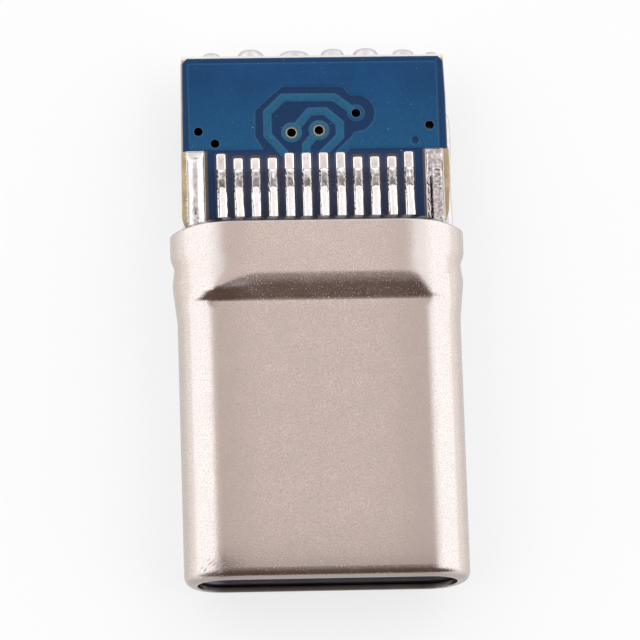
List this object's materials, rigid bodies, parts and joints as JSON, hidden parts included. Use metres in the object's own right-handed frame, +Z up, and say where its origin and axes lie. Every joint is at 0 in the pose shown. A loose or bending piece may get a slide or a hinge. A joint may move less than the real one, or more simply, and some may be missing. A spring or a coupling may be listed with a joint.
{
  "type": "usb-c plug",
  "caption": "Flat oval metal-shelled plug with a stepped collar, spring contacts inside and a small wiring board soldered behind it.",
  "frame": {"origin": "middle of the plug's overall length and width, at the level of the collar's underside", "axes": "+Y along the plug from the mouth towards the board, +X across it, +Z up through the thickness"},
  "size_m": [0.0086, 0.0162, 0.003],
  "materials": {
    "shell_steel": "bead-blasted warm nickel plate",
    "black_plastic": "moulded, slightly glossy",
    "contact_metal": "tinned spring bronze",
    "spring_steel": "bright stainless strip",
    "laminate": "glass-epoxy board, routed edges",
    "solder_mask": "blue lacquer over copper",
    "solder": "bright tin solder, uneven"
  },
  "bodies": {
    "root": {"circuit_board": "laminate", "front_insulator": "black_plastic", "latch_plate": "spring_steel", "left_leg_joint": "solder", "left_under_joint": "solder", "lower_contact_01": "contact_metal", "lower_contact_02": "contact_metal", "lower_contact_03": "contact_metal", "lower_contact_04": "contact_metal", "lower_contact_05": "contact_metal", "lower_contact_08": "contact_metal", "lower_contact_09": "contact_metal", "lower_contact_10": "contact_metal", "lower_contact_11": "contact_metal", "lower_contact_12": "contact_metal", "lower_ground_spring": "spring_steel", "lower_mask": "solder_mask", "lower_wafer": "black_plastic", "right_leg_joint": "solder", "right_under_joint": "solder", "shell": "shell_steel", "upper_contact_01": "contact_metal", "upper_contact_02": "contact_metal", "upper_contact_03": "contact_metal", "upper_contact_04": "contact_metal", "upper_contact_05": "contact_metal", "upper_contact_06": "contact_metal", "upper_contact_07": "contact_metal", "upper_contact_08": "contact_metal", "upper_contact_09": "contact_metal", "upper_contact_10": "contact_metal", "upper_contact_11": "contact_metal", "upper_contact_12": "contact_metal", "upper_ground_spring": "spring_steel", "upper_mask": "solder_mask", "upper_wafer": "black_plastic", "wire_joint_1": "solder", "wire_joint_2": "solder", "wire_joint_3": "solder", "wire_joint_4": "solder", "wire_joint_5": "solder", "wire_joint_6": "solder", "wire_joint_7": "solder"}
  },
  "joints": []
}
